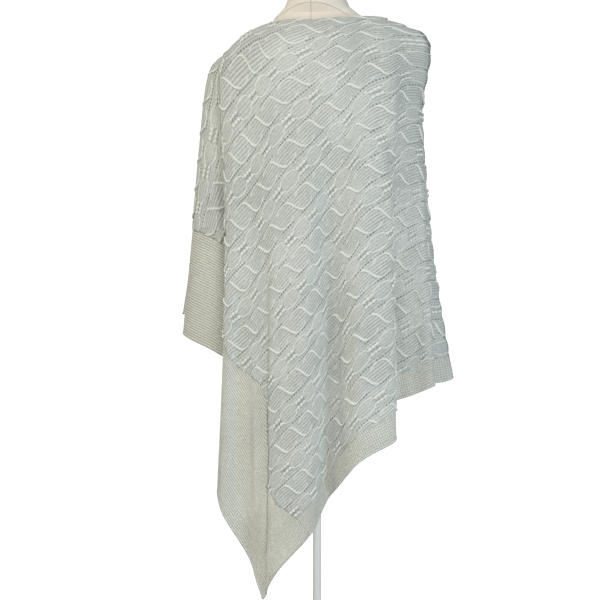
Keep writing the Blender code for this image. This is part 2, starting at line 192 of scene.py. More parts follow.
def hang_lines(along, side):
    """Points down each hanging line, and the length run to each of them."""
    rows = FOLDS[side]
    lay = ridge_value(LAY, along)
    lays = column(rows, FOLD_LAY)
    ridge_y = side * np.minimum(ridge_value(RIDGE_Y, along), 0.0)
    top = np.stack([ridge_value(RIDGE_X, along), ridge_y, ridge_value(RIDGE_Z, along)], 1)
    cap, yoke, hem = (
        np.stack([smooth(lays, column(rows, k), lay), smooth(lays, column(rows, k + 1), lay),
                  np.full_like(lay, z)], 1)
        for k, z in ((CAP_XY, CAP_Z), (YOKE_XY, YOKE_Z), (HEM_XY, HEM_Z)))
    bow = smooth(lays, column(rows, BOW), lay)[:, None, None]
    share = np.linspace(0, (YOKE_Z - END_Z) / (YOKE_Z - HEM_Z), FALL_STEPS + 1)[None, :, None]
    bent = np.where(share < 1, share * (1 + bow * (share - 1)), 1 + (share - 1) * (1 + bow))
    fall = yoke[:, None] + (hem - yoke)[:, None] * bent
    fall[..., 2] = YOKE_Z + (HEM_Z - YOKE_Z) * share[..., 0]
    lead = fall[:, 1] - fall[:, 0]
    lead /= np.linalg.norm(lead, axis=1, keepdims=True)
    reach = np.linalg.norm(yoke - top, axis=1)[:, None]
    high = top + (cap - top) * CAP_LEAD
    high[:, 2] = top[:, 2] - CAP_DROP * (top[:, 2] - CAP_Z)
    low = yoke - lead * reach * YOKE_LEAD
    t = np.linspace(0, 1, CAP_STEPS + 1)[None, :-1, None]
    over = ((1 - t)**3 * top[:, None] + 3 * (1 - t)**2 * t * high[:, None]
            + 3 * (1 - t) * t**2 * low[:, None] + t**3 * yoke[:, None])
    line = np.concatenate([over, fall], 1)
    steps = np.linalg.norm(np.diff(line, axis=1), axis=2)
    return line, np.concatenate([np.zeros((len(lay), 1)), np.cumsum(steps, axis=1)], 1)


def spot(u, v, side):
    """The place in space of flat points (u, v) of one half."""
    shape = np.shape(u)
    along, hang = hang_of(np.ravel(u).astype(float), np.ravel(v).astype(float))
    hang = hang + ridge_value(SLIP, along) * (1 - np.exp(-hang / SLIP_REACH))
    line, run = hang_lines(along, side)
    k = np.clip((run <= hang[:, None]).sum(1) - 1, 0, run.shape[1] - 2)
    n = np.arange(len(hang))
    t = ((hang - run[n, k]) / (run[n, k + 1] - run[n, k]))[:, None]
    return (line[n, k] * (1 - t) + line[n, k + 1] * t).reshape(*shape, 3)


class Drape:
    """One half of the hanging cloth on a close lattice, read between its points."""

    def __init__(self, side):
        self.side = side
        self.us = np.arange(0.0, HALF_LENGTH + LATTICE_SPARE * LATTICE, LATTICE)
        self.vs = np.arange(0.0, WIDTH + LATTICE_SPARE * LATTICE, LATTICE)
        u, v = np.meshgrid(self.us, self.vs, indexing="ij")
        self.place = spot(u, v, side)
        along_u, along_v = np.gradient(self.place, axis=(0, 1))
        self.normal = np.cross(along_u, along_v) * side
        self.normal /= np.linalg.norm(self.normal, axis=2, keepdims=True)

    def between(self, table, u, v):
        i = np.clip((u / LATTICE).astype(int), 0, len(self.us) - 2)
        j = np.clip((v / LATTICE).astype(int), 0, len(self.vs) - 2)
        a = (u / LATTICE - i)[:, None]
        b = (v / LATTICE - j)[:, None]
        return ((table[i, j] * (1 - b) + table[i, j + 1] * b) * (1 - a)
                + (table[i + 1, j] * (1 - b) + table[i + 1, j + 1] * b) * a)

    def hang(self, points):
        """Flat points (along, across, height) hung in space. Along is below zero on the front."""
        u, v = np.abs(points[:, 0]), points[:, 1]
        normal = self.between(self.normal, u, v)
        other = DRAPES.get(-self.side)
        if other is not None:
            to_join = np.minimum(u, np.where(u > NECK_END, v, 1.0))
            near = np.exp(-to_join / JOIN_SOFTNESS)[:, None] / 2
            normal = normal * (1 - near) + other.between(other.normal, u, v) * near
        normal /= np.linalg.norm(normal, axis=1, keepdims=True)
        height = points[:, 2] + crease(u, v, self.side)
        return self.between(self.place, u, v) + normal * height[:, None]


DRAPES = {}

# Yarn tails at the low tip, from the corner of the cloth: along, across, height.
TAILS = (
    ((-0.004, -0.003, 0.001), (0.002, 0.001, 0.003), (0.009, 0.006, 0.002), (0.013, 0.014, 0.004)),
    ((-0.006, -0.001, 0.001), (0.003, 0.004, 0.002), (0.006, 0.012, 0.004), (0.013, 0.017, 0.001)),
    ((-0.002, -0.005, 0.001), (0.006, -0.001, 0.004), (0.014, 0.001, 0.003), (0.020, 0.008, 0.005)),
)


def crease(u, v, side):
    """Height of the soft creases at flat points, fading out at both ends of each."""
    total = np.zeros_like(u)
    for _name, where, u0, v0, u1, v1, width, height in CREASES:
        if where != side:
            continue
        du, dv = u1 - u0, v1 - v0
        length = math.hypot(du, dv)
        t = ((u - u0) * du + (v - v0) * dv) / length**2
        away = ((u - u0) * dv - (v - v0) * du) / length
        bend = away - 0.25 * width * np.sin(3 * t)
        fade = np.clip(t * (1 - t) * 4, 0, 1)
        total += height * fade * np.exp(-((bend / width) ** 2))
    return total


# ---------------------------------------------------------------- the knitted pattern, laid flat
COLUMN_PAIRS, SPARE_PAIRS = 10, 2
COLUMN = PANEL_WIDTH / (2 * COLUMN_PAIRS)
RIB = COLUMN / 7
RIDGE_PITCH = 0.0047
GRID_PITCH = 0.0046
LOOP_PITCH, LOOP_HALF, LOOP_SWAY, LOOP_RISE = 0.0046, 0.0026, 0.0009, 0.0004
LOOP_WIDE, LOOP_HIGH, TAIL_RADIUS = 0.0013, 0.0014, 0.0006
WAVE_PERIOD, WAVE_HALF, WAVE_PHASE = 0.0528, 0.0155, 0.37
KNOT_PERIOD, KNOT_HALF, KNOT_PHASE = 0.0687, 0.0125, 0.43
KNOT_SHARE, KNOT_BEADS, BEAD_AWAY = 0.38, 3, 0.0048
GROUND = 0.0012
END_MESH_ALONG, END_MESH_ACROSS = 0.00105, 0.0050
SIDE_MESH_ALONG, SIDE_MESH_ACROSS = 0.0021, 0.0012

# The wales don't stay square to the courses: how far they have drawn aside, by distance along.
BIAS = ((0.00, 0.00), (0.08, 0.00), (0.20, 0.02), (0.40, 0.06), (0.55, 0.08), (0.90, 0.07))

# The seam of the back's end border, drawn aside where the free end rolls over.
# name, middle across, half width across, shift along (above zero is towards the end)
BACK_TUCKS = (
    ("pinch", 0.49, 0.055, -0.042),
    ("bulge", 0.65, 0.080, 0.050),
)


def border_seam(v, side):
    """Where the cabled panel ends and the end border starts, at flat places across."""
    seam = np.full_like(v, PANEL_LENGTH)
    for _name, middle, half, shift in (BACK_TUCKS if side == BACK else ()):
        seam += shift * np.exp(-(((v - middle) / half) ** 2))
    return seam


def bias(x):
    """How far the wales have drawn aside at flat places along."""
    return smooth(column(BIAS, 0), column(BIAS, 1), np.abs(x))


def wave_edge(q):
    """Half width of a leaf cell, q from 0 to 1 between its crossings."""
    return WAVE_HALF * np.clip(np.sin(np.pi * q), 0.0, 1.0) ** 0.45


def wave_strand(p):
    """Across, height and thickness of a wave strand, p in periods from where it crosses over."""
    side = np.abs(p)
    narrow = 1 - 0.60 * np.clip((side - 0.45) / 0.5, 0, 1) ** 2
    across = WAVE_HALF * np.tanh(p / 0.135) * narrow
    fade = np.clip((side - 0.72) / 0.20, 0, 1)
    crossing = np.exp(-((p / 0.24) ** 4))
    height = GROUND + 0.0006 + 0.0014 * crossing - 0.0032 * fade**2 * (3 - 2 * fade)
    return across, height, 0.48 + 0.52 * crossing


def knot_edge(t):
    """Half width between the two strands of a knot column, t from 0 to 1 in a period."""
    oval = np.clip(t / (1 - KNOT_SHARE), 0, 1)
    return BEAD_AWAY + (KNOT_HALF - BEAD_AWAY) * np.sin(np.pi * oval) ** 0.6


def knot_strand(t):
    """Across, height and thickness of a strand that swells into beads beside the slit."""
    place = np.clip((t - (1 - KNOT_SHARE)) / KNOT_SHARE, 0, 1)
    bead = np.abs(np.sin(KNOT_BEADS * np.pi * place)) ** 0.8
    return knot_edge(t), GROUND + 0.0006 + 0.0009 * bead, 0.46 + 0.80 * bead


def panel_relief(x, v):
    """Height, rib strength and pit depth of the panel's face at flat points."""
    y = v - bias(x)
    k = np.floor(y / COLUMN)
    w = y - (k + 0.5) * COLUMN
    pair = k // 2
    wave = k % 2 == 0
    q = (x / WAVE_PERIOD - pair * WAVE_PHASE) % 1.0
    leaf = np.clip(1.3 * (1 - np.abs(w) / np.maximum(wave_edge(q), 1e-4)), 0, 1) ** 0.5
    t = (x / KNOT_PERIOD - pair * KNOT_PHASE) % 1.0
    in_knot = t > 1 - KNOT_SHARE
    oval = np.clip(1.3 * (1 - np.abs(w) / knot_edge(t)), 0, 1) ** 0.5 * ~in_knot
    slit = np.exp(-((w / 0.0017) ** 2)) * in_knot
    # rib and pit also set how much painted shade the knit material lays into the rib valleys and
    # the knot slits.
    rib = np.where(wave, 0.70 + 0.30 * leaf, 0.70 - 0.25 * oval)
    pit = np.where(wave, 0.0, slit)
    height = GROUND + np.where(wave, 0.0019 * leaf, 0.0018 * oval) - 0.0012 * pit
    height -= 0.0004 * rib * np.cos(2 * np.pi * y / RIB)
    return height, {"rib": rib, "pit": pit}


def end_band_relief(x, y):
    """Ridges that run along the band, broken into a grid towards the low corner."""
    ridge = np.cos(2 * np.pi * x / RIDGE_PITCH)
    grid = np.clip((y - 0.56) / 0.10, 0, 1)
    return GROUND + 0.0005 * ridge, {"ridge": 1 - 0.6 * grid, "grid": grid}


def side_band_relief(x, y):
    """A grid of small dents."""
    dent = np.cos(2 * np.pi * x / GRID_PITCH) + np.cos(2 * np.pi * y / GRID_PITCH)
    return GROUND + 0.0002 * dent, {"grid": np.ones_like(x)}


def shell(name, xs, ys, relief, side, coarse=4):
    """A closed cloth wall: a fine face with the relief, a coarser lining side, and a fanned rim."""
    x, y = np.meshgrid(xs, ys, indexing="ij")
    seam, outer = border_seam(y, side), np.abs(xs).max()
    inside = np.abs(x) * seam / PANEL_LENGTH
    outside = seam + (np.abs(x) - PANEL_LENGTH) / max(outer - PANEL_LENGTH, 1e-6) * (outer - seam)
    x = side * np.where(np.abs(x) <= PANEL_LENGTH, inside, outside)
    rows, cols = x.shape
    height, marks = relief(x, y)
    face = np.stack([x.ravel(), y.ravel(), height.ravel()], 1)
    bx, by = x[::coarse, ::coarse], y[::coarse, ::coarse]
    back_rows, back_cols = bx.shape
    lining = np.stack([bx.ravel(), by.ravel(), np.full(bx.size, -GROUND)], 1)
    count = rows * cols
    n = np.arange(count).reshape(rows, cols)
    m = np.arange(back_rows * back_cols).reshape(back_rows, back_cols) + count
    quads = np.stack([n[:-1, :-1], n[1:, :-1], n[1:, 1:], n[:-1, 1:]], -1).reshape(-1, 4)
    under = np.stack([m[:-1, :-1], m[:-1, 1:], m[1:, 1:], m[1:, :-1]], -1).reshape(-1, 4)
    rim = []
    edges = ((n[:, 0], m[:, 0]), (n[-1, :], m[-1, :]),
             (n[::-1, -1], m[::-1, -1]), (n[0, ::-1], m[0, ::-1]))
    for fine, rough in edges:
        for k in range(len(rough) - 1):
            part = fine[k * coarse:(k + 1) * coarse + 1]
            half = coarse // 2
            a, b = int(rough[k]), int(rough[k + 1])
            for i in range(coarse):
                rim.append([int(part[i + 1]), int(part[i]), a if i < half else b])
            rim.append([int(part[half]), a, b])
    flat = np.concatenate([face, lining])
    faces = [list(map(int, q)) for q in quads] + [list(map(int, q)) for q in under] + rim
    if xs[-1] < xs[0]:
        faces = [f[::-1] for f in faces]
    marks = {key: np.concatenate([value.ravel(), np.zeros(bx.size)])
             for key, value in marks.items()}
    return cloth_object(name, flat, faces, side, marks, relief is panel_relief)


def steps_for(start, end, pitch, coarse=4):
    """Flat positions about a pitch apart, in a whole number of coarse steps."""
    count = max(1, round(abs(end - start) / pitch / coarse)) * coarse
    return np.linspace(start, end, count + 1)


def placed(name, data):
    """A new object with this data, in the scene."""
    made = bpy.data.objects.new(name, data)
    bpy.context.scene.collection.objects.link(made)
    return made


def flat_map(mesh, flat, leaning):
    """Keeps the flat places of the mesh's points as its UV map, in metres."""
    layer = mesh.uv_layers.new(name="flat")
    corner = np.empty(len(mesh.loops), np.int32)
    mesh.loops.foreach_get("vertex_index", corner)
    charted = flat[:, :2].copy()
    if leaning:
        charted[:, 1] -= bias(flat[:, 0])
    layer.data.foreach_set("uv", charted[corner].ravel())


def cloth_object(name, flat, faces, side, marks, leaning):
    """Hangs flat points in space, with their marks as attributes."""
    mesh = bpy.data.meshes.new(name)
    mesh.from_pydata(DRAPES[side].hang(flat).tolist(), [], faces)
    flat_map(mesh, flat, leaning)
    for key, value in marks.items():
        attribute = mesh.attributes.new(key, "FLOAT", "POINT")
        attribute.data.foreach_set("value", value.astype(np.float32))
    mesh.shade_smooth()
    return placed(name, mesh)


# ---------------------------------------------------------------- cable strands
TUBE_SIDES = 6
STRAND_FLATNESS = 0.75       # height of a strand over its width


def tube(path, half_width, half_height, sides, closed):
    """Points and faces of an oval tube along flat path points (along, across, height).

    The two halves are one number each, or one for every path point.
    """
    tangent = np.gradient(path, axis=0)
    tangent /= np.linalg.norm(tangent, axis=1, keepdims=True)
    side = np.cross([0.0, 0.0, 1.0], tangent)
    side /= np.linalg.norm(side, axis=1, keepdims=True)
    up = np.cross(tangent, side)
    angle = np.linspace(0, 2 * np.pi, sides, endpoint=False)
    wide, high = (np.broadcast_to(half, len(path))[:, None, None]
                  for half in (half_width, half_height))
    ring = (path[:, None] + side[:, None] * np.cos(angle)[None, :, None] * wide
            + up[:, None] * np.sin(angle)[None, :, None] * high)
    points = ring.reshape(-1, 3)
    count = len(path)
    n = np.arange(count * sides).reshape(count, sides)
    m = np.roll(n, -1, axis=1)
    faces = [list(map(int, f)) for f in np.stack([n[:-1], m[:-1], m[1:], n[1:]], -1).reshape(-1, 4)]
    if closed:
        faces += [[int(i) for i in n[0][::-1]], [int(i) for i in n[-1]]]
    return points, faces


def unit_object(name, tubes):
    """One repeat of a column, as a mesh on the flat."""
    mesh = bpy.data.meshes.new(name)
    points, faces = [], []
    for some, several in tubes:
        start = len(points)
        points += some.tolist()
        faces += [[i + start for i in face] for face in several]
    mesh.from_pydata(points, [], faces)
    return placed(name, mesh)


def wave_unit(sizes):
    p = np.linspace(-0.92, 0.92, 35)
    across, height, swell = wave_strand(p)
    path = np.stack([-p * WAVE_PERIOD, across, height], 1)
    half = swell * sizes.strand_width / 2
    return unit_object("wave_repeat", [tube(path, half, half * STRAND_FLATNESS, TUBE_SIDES, True)])


def knot_unit(sizes):
    open_end = 1 - KNOT_SHARE
    t = np.concatenate([np.linspace(0, open_end, 14)[:-1], np.linspace(open_end, 1, 19)])
    across, height, swell = knot_strand(t)
    half = swell * sizes.strand_width / 2
    return unit_object("knot_repeat", [
        tube(np.stack([t * KNOT_PERIOD, way * across, height], 1),
             half, half * STRAND_FLATNESS, TUBE_SIDES, False)
        for way in (1, -1)])


def loop_unit():
    """One cast-off loop of an edge: a short strand that leans over."""
    p = np.linspace(-1, 1, 7)
    path = np.stack([LOOP_HALF * p, LOOP_SWAY * np.sin(p * 1.5), LOOP_RISE * (1 - p**2)], 1)
    round_off = np.sqrt(1.06 - p**2)
    return unit_object("edge_repeat", [
        tube(path, LOOP_WIDE * round_off, LOOP_HIGH * round_off, TUBE_SIDES, True)])


def link_node(tree, kind, **settings):
    """A node with its properties set, and its inputs set or linked by name or place."""
    node = tree.nodes.new(kind)
    for key, value in settings.pop("props", {}).items():
        setattr(node, key, value)
    for key, value in settings.pop("inputs", {}).items():
        socket = node.inputs[key]
        if isinstance(value, bpy.types.NodeSocket):
            tree.links.new(value, socket)
        else:
            socket.default_value = value
    return node


def math_node(tree, operation, *values):
    node = link_node(tree, "ShaderNodeMath", props={"operation": operation},
                     inputs=dict(enumerate(values)))
    return node.outputs[0]


def repeat_tree():
    """Repeats one unit in columns over the flat cloth, each column shifted along by a share."""
    tree = bpy.data.node_groups.new("repeat_in_columns", "GeometryNodeTree")
    sockets = tree.interface
    sockets.new_socket("Geometry", in_out="OUTPUT", socket_type="NodeSocketGeometry")
    for name, kind in (("Unit", "Object"), ("Repeats", "Int"), ("Columns", "Int"),
                       ("Repeat Length", "Float"), ("Column Pitch", "Float"),
                       ("First Column", "Float"), ("Phase", "Float"), ("Start", "Float"),
                       ("Material", "Material")):
        sockets.new_socket(name, in_out="INPUT", socket_type="NodeSocket" + kind)
    given = tree.nodes.new("NodeGroupInput").outputs
    count = math_node(tree, "MULTIPLY", given["Repeats"], given["Columns"])
    points = link_node(tree, "GeometryNodePoints", inputs={"Count": count})
    index = tree.nodes.new("GeometryNodeInputIndex").outputs[0]
    row = math_node(tree, "FLOOR", math_node(tree, "DIVIDE", index, given["Repeats"]))
    step = math_node(tree, "SUBTRACT", index, math_node(tree, "MULTIPLY", row, given["Repeats"]))
    shift = math_node(tree, "FRACT", math_node(tree, "MULTIPLY", row, given["Phase"]))
    along = math_node(tree, "MULTIPLY", math_node(tree, "ADD", step, shift), given["Repeat Length"])
    along = math_node(tree, "ADD", along, given["Start"])
    across = math_node(tree, "MULTIPLY", row, given["Column Pitch"])
    across = math_node(tree, "ADD", across, given["First Column"])
    place = link_node(tree, "ShaderNodeCombineXYZ", inputs={"X": along, "Y": across})
    placed = link_node(tree, "GeometryNodeSetPosition",
                       inputs={"Geometry": points.outputs[0], "Position": place.outputs[0]})
    unit = link_node(tree, "GeometryNodeObjectInfo", inputs={"Object": given["Unit"]})
    copies = link_node(tree, "GeometryNodeInstanceOnPoints",
                       inputs={"Points": placed.outputs[0], "Instance": unit.outputs["Geometry"]})
    real = link_node(tree, "GeometryNodeRealizeInstances", inputs={"Geometry": copies.outputs[0]})
    done = link_node(tree, "GeometryNodeSetMaterial",
                     inputs={"Geometry": real.outputs[0], "Material": given["Material"]})
    out = tree.nodes.new("NodeGroupOutput")
    tree.links.new(done.outputs[0], out.inputs[0])
    return tree


def grown(name, tree, **values):
    """The plain mesh that a node tree makes with these inputs."""
    base = placed(name + "_grower", bpy.data.meshes.new(name + "_grower"))
    modifier = base.modifiers.new("grow", "NODES")
    modifier.node_group = tree
    for item in tree.interface.items_tree:
        if item.in_out == "INPUT" and item.name in values:
            modifier[item.identifier] = values[item.name]
    bpy.context.view_layer.update()
    graph = bpy.context.evaluated_depsgraph_get()
    mesh = bpy.data.meshes.new_from_object(base.evaluated_get(graph), depsgraph=graph)
    mesh.name = name
    base.modifiers.remove(modifier)
    bpy.data.objects.remove(base)
    return mesh


def clipped(mesh, side):
    """Leans flat strands with the wales, then cuts them off square at the panel's four edges."""
    bm = bmesh.new()
    bm.from_mesh(mesh)
    bmesh.ops.remove_doubles(bm, verts=bm.verts, dist=2e-6)
    lean = bias(np.array([vert.co.x for vert in bm.verts]))
    for vert, shift in zip(bm.verts, lean):
        vert.co.y += shift
        vert.co.x *= PANEL_LENGTH / float(border_seam(np.clip(vert.co.y, 0, WIDTH), side))
    end = side * PANEL_LENGTH
    for place, way in (((min(0.0, end), 0, 0), (-1, 0, 0)), ((max(0.0, end), 0, 0), (1, 0, 0)),
                       ((0, 0.001, 0), (0, -1, 0)), ((0, PANEL_WIDTH, 0), (0, 1, 0))):
        everything = bm.verts[:] + bm.edges[:] + bm.faces[:]
        cut = bmesh.ops.bisect_plane(bm, geom=everything, dist=1e-7, plane_co=place,
                                     plane_no=way, clear_outer=True)
        edges = [e for e in cut["geom_cut"] if isinstance(e, bmesh.types.BMEdge)]
        bmesh.ops.holes_fill(bm, edges=edges, sides=0)
    bmesh.ops.triangulate(bm, faces=[f for f in bm.faces if len(f.verts) > 4])
    for vert in bm.verts:
        vert.co.x *= float(border_seam(np.clip(vert.co.y, 0, WIDTH), side)) / PANEL_LENGTH
    bm.to_mesh(mesh)
    bm.free()
    return mesh


# ---------------------------------------------------------------- finishes
def material(name, colour, roughness, **sockets):
    """A Principled material, with plain values on the shader's own sockets."""
    made = bpy.data.materials.new(name)
    made.use_nodes = True
    tree = made.node_tree
    shader = tree.nodes["Principled BSDF"]
    shader.inputs["Base Color"].default_value = (*colour, 1.0)
    shader.inputs["Roughness"].default_value = roughness
    for key, value in sockets.items():
        shader.inputs[key.replace("_", " ").title()].default_value = value
    return made, tree, shader


def wave_of(tree, value, period, shift=0.0):
    """Cosine of a length with this period, from -1 to 1."""
    scaled = math_node(tree, "MULTIPLY_ADD", value, 2 * math.pi / period, shift)
    return math_node(tree, "COSINE", scaled)


def mark(tree, name):
    return link_node(tree, "ShaderNodeAttribute", props={"attribute_name": name}).outputs["Fac"]


def noise(tree, place, scale, detail=2.0):
    made = link_node(tree, "ShaderNodeTexNoise",
                     inputs={"Vector": place, "Scale": scale, "Detail": detail})
    return made.outputs[0]


def shaded(tree, shader, amount, light, dark):
    """Drives the base colour from light to dark by an amount."""
    shade = link_node(tree, "ShaderNodeMix", props={"data_type": "RGBA"})
    tree.links.new(amount, shade.inputs[0])
    shade.inputs[6].default_value = (*light, 1.0)
    shade.inputs[7].default_value = (*dark, 1.0)
    tree.links.new(shade.outputs[2], shader.inputs["Base Color"])
    return shade


def bumped(tree, shader, strength, distance, height):
    bump = link_node(tree, "ShaderNodeBump",
                     inputs={"Strength": strength, "Distance": distance, "Height": height})
    tree.links.new(bump.outputs[0], shader.inputs["Normal"])


def knit_material(name, light, dark, depth=1.0):
    """Yarn in small stitches, charted on the flat cloth.

    The attributes rib, ridge, grid and pit say how strongly each of these marks shows, and
    depth how dark the painted shade in the gaps between stitches is.
    """
    made, tree, shader = material(name, light, 0.86, sheen_weight=0.2, sheen_roughness=0.6)
    shader.inputs["Specular IOR Level"].default_value = 0.2
    shader.inputs["Sheen Tint"].default_value = (1.0, 0.99, 0.95, 1.0)
    flat = link_node(tree, "ShaderNodeUVMap", props={"uv_map": "flat"})
    split = link_node(tree, "ShaderNodeSeparateXYZ", inputs={0: flat.outputs[0]})
    along, across = split.outputs[0], split.outputs[1]
    place = tree.nodes.new("ShaderNodeTexCoord").outputs["Object"]

    def times(a, b):
        return math_node(tree, "MULTIPLY", a, b)

    def plus(a, b, c):
        return math_node(tree, "MULTIPLY_ADD", a, b, c)

    # The yarn is uneven, so the rows of stitches wander a little.
    wander = plus(noise(tree, place, 70.0), 0.0016, -0.0008)
    wale_waves = wave_of(tree, math_node(tree, "ADD", across, wander), RIB, math.pi)
    ribs = times(wale_waves, mark(tree, "rib"))
    course_waves = wave_of(tree, math_node(tree, "ADD", along, wander), RIDGE_PITCH)
    ridges = times(course_waves, mark(tree, "ridge"))
    dents = math_node(tree, "MINIMUM", math_node(
        tree, "ADD", wave_of(tree, along, GRID_PITCH), wave_of(tree, across, GRID_PITCH)), 0.4)
    dents = times(dents, mark(tree, "grid"))
    # Each stitch is a small V: two legs that lean towards each other across its wale.
    wale = math_node(tree, "DIVIDE", across, RIB / 2)
    leg = math_node(tree, "ABSOLUTE", math_node(
        tree, "SUBTRACT", math_node(tree, "FRACT", wale), 0.5))
    loops = wave_of(tree, plus(leg, 0.0028, along), 0.0027)
    # Gaps between stitches: dashes of painted shade along some wales of the ground; the knot slits
    # get painted shade too.
    edge = wave_of(tree, across, COLUMN)
    dash = math_node(tree, "MAXIMUM", wave_of(tree, plus(edge, 0.001, along), 0.0066), 0.0)
    near = math_node(tree, "GREATER_THAN", edge, 0.955)
    sparse = math_node(tree, "GREATER_THAN", noise(tree, place, 40.0), 0.47)
    ribbed = math_node(tree, "GREATER_THAN", mark(tree, "rib"), 0.2)
    shade_dots = times(times(dash, ribbed), times(near, sparse))
    pit = math_node(tree, "ADD", shade_dots, times(mark(tree, "pit"), plus(dash, 0.45, 0.25)))
    fuzz = noise(tree, place, 900.0, 3.0)
    patch = noise(tree, place, 9.0, 3.0)
    high = plus(ribs, 0.75, plus(ridges, 0.9, plus(dents, 0.6, 0.0)))
    # Painted shade: the colour darkens where the ribs, ridges and dents dip, mixed with random
    # patches and grain of the yarn.
    shade_and_mottle = plus(high, -0.34 * depth, plus(patch, 0.5, 0.25 * depth - 0.15))
    grain = noise(tree, place, 430.0, 1.0)
    shade_and_mottle = plus(grain, 0.9 * depth, math_node(tree, "SUBTRACT", shade_and_mottle, 0.45 * depth))
    tone = plus(pit, 0.8, plus(loops, -0.05, shade_and_mottle))
    high = plus(pit, -1.6, plus(loops, 0.22, plus(fuzz, 0.4, high)))
    shaded(tree, shader, tone, light, dark)
    bumped(tree, shader, 0.8, 0.0006, high)
    return made


SEAM_ASIDE, NECK_SEAM_Z, NECK_SEAM_ARCH, SEAM_HALF = 0.006, 1.411, 4.9, 0.0008
JERSEY_ROWS, JERSEY_WALES = 0.0013, 0.0011


def jersey_material(colours):
    """The form's stretched cover: a fine knit with a faint heather."""
    light = colours.cover[:]
    made, tree, shader = material("form_jersey", light, 0.82, sheen_weight=0.2, sheen_roughness=0.5)
    place = tree.nodes.new("ShaderNodeTexCoord").outputs["Object"]
    split = link_node(tree, "ShaderNodeSeparateXYZ", inputs={0: place})
    rows = wave_of(tree, split.outputs[2], JERSEY_ROWS)
    wales = wave_of(tree, split.outputs[0], JERSEY_WALES)
    weave = math_node(tree, "MULTIPLY", rows, wales)
    heather = noise(tree, place, 260.0, 4.0)
    # A seam down the middle of the back and one where the neck starts, both let into the cover.
    middle = math_node(tree, "ABSOLUTE", math_node(tree, "ADD", split.outputs[0], SEAM_ASIDE))
    arch = math_node(tree, "MULTIPLY", math_node(tree, "POWER", middle, 2.0), NECK_SEAM_ARCH)
    around = math_node(tree, "ABSOLUTE", math_node(
        tree, "SUBTRACT", math_node(tree, "ADD", split.outputs[2], arch), NECK_SEAM_Z))
    seam = math_node(tree, "LESS_THAN", math_node(tree, "MINIMUM", middle, around), SEAM_HALF)
    weave = math_node(tree, "MULTIPLY_ADD", seam, -3.0, weave)
    worn = math_node(tree, "MULTIPLY_ADD", seam, 2.0, heather)
    shaded(tree, shader, worn, light, [c * 0.86 for c in light]).clamp_factor = False
    bumped(tree, shader, 0.3, 0.0003, weave)
    return made


GRIME = (0.52, 0.51, 0.48)


def enamel_material(name, colours, wear):
    """Sprayed white enamel with a faint orange peel and a little grime in patches."""
    made, tree, shader = material(name, colours.enamel[:], 0.32,
                                  coat_weight=0.3, coat_roughness=0.15)
    place = tree.nodes.new("ShaderNodeTexCoord").outputs["Object"]
    scuff = noise(tree, place, 26.0, 6.0)
    tone = math_node(tree, "MULTIPLY", math_node(tree, "POWER", scuff, 3.0), wear)
    shaded(tree, shader, tone, colours.enamel[:], GRIME)
    rough = math_node(tree, "MULTIPLY_ADD", scuff, 0.25, 0.20)
    tree.links.new(rough, shader.inputs["Roughness"])
    bumped(tree, shader, 0.12, 0.0004, noise(tree, place, 420.0))
    return made


# ---------------------------------------------------------------- settings
class PonchoSizes(bpy.types.PropertyGroup):
    strand_width: bpy.props.FloatProperty(
        name="Strand Width", description="Width of a raised cable strand",
        default=0.0050, unit="LENGTH")
    face_along: bpy.props.FloatProperty(
        name="Mesh Along", description="Spacing of the panel mesh along the knitting",
        default=0.0048, unit="LENGTH")
    face_across: bpy.props.FloatProperty(
        name="Mesh Across", description="Spacing of the panel mesh across the knitting",
        default=0.00130, unit="LENGTH")


class PonchoColours(bpy.types.PropertyGroup):
    yarn_light: bpy.props.FloatVectorProperty(
        name="Yarn", description="Colour of the yarn in the light", default=(0.81, 0.83, 0.785),
        subtype="COLOR", size=3, min=0, max=1)
    # Painted shade: the dark colour that the knit is mixed towards in the gaps between stitches.
    yarn_shade: bpy.props.FloatVectorProperty(
        name="Yarn Shade", description="Colour of the yarn between stitches",
        default=(0.27, 0.305, 0.285),
        subtype="COLOR", size=3, min=0, max=1)
    # Painted highlight: the strands are the same yarn as the ground, given a lighter colour for the
    # light that their raised tops catch.
    strand: bpy.props.FloatVectorProperty(
        name="Strands", description="Colour of the raised cable strands",
        default=(0.87, 0.885, 0.84),
        subtype="COLOR", size=3, min=0, max=1)
    border_light: bpy.props.FloatVectorProperty(
        name="Border", description="Colour of the border yarn in the light",
        default=(0.92, 0.92, 0.85),
        subtype="COLOR", size=3, min=0, max=1)
    # Painted shade: the dark colour that the border knit is mixed towards between its ridges and
    # dents.
    border_shade: bpy.props.FloatVectorProperty(
        name="Border Shade", description="Colour of the border yarn between stitches",
        default=(0.34, 0.355, 0.29), subtype="COLOR", size=3, min=0, max=1)
    cover: bpy.props.FloatVectorProperty(
        name="Form Cover", description="Colour of the form's jersey cover",
        default=(0.97, 0.89, 0.79),
        subtype="COLOR", size=3, min=0, max=1)
    enamel: bpy.props.FloatVectorProperty(
        name="Enamel", description="Colour of the stand and the neck cap",
        default=(0.93, 0.93, 0.925),
        subtype="COLOR", size=3, min=0, max=1)
    floor: bpy.props.FloatVectorProperty(
        name="Floor", description="Colour of the studio floor", default=(0.93, 0.93, 0.93),
        subtype="COLOR", size=3, min=0, max=1)


def settings():
    return bpy.context.scene.poncho_sizes, bpy.context.scene.poncho_colours


def shared_knit(name, light, dark, depth=1.0):
    """The knit of this name, made when it is first asked for."""
    return bpy.data.materials.get(name) or knit_material(name, light[:], dark[:], depth)


def panel_knit():
    _, colours = settings()
    return shared_knit("panel_knit", colours.yarn_light, colours.yarn_shade)


# Painted highlight: the strands' knit is a lighter copy of the yarn, with no painted shade between
# stitches.
def strand_knit():
    _, colours = settings()
    return shared_knit("strand_knit", colours.strand, colours.yarn_light, 0.0)


def band_knit():
    _, colours = settings()
    return shared_knit("band_knit", colours.border_light, colours.border_shade)


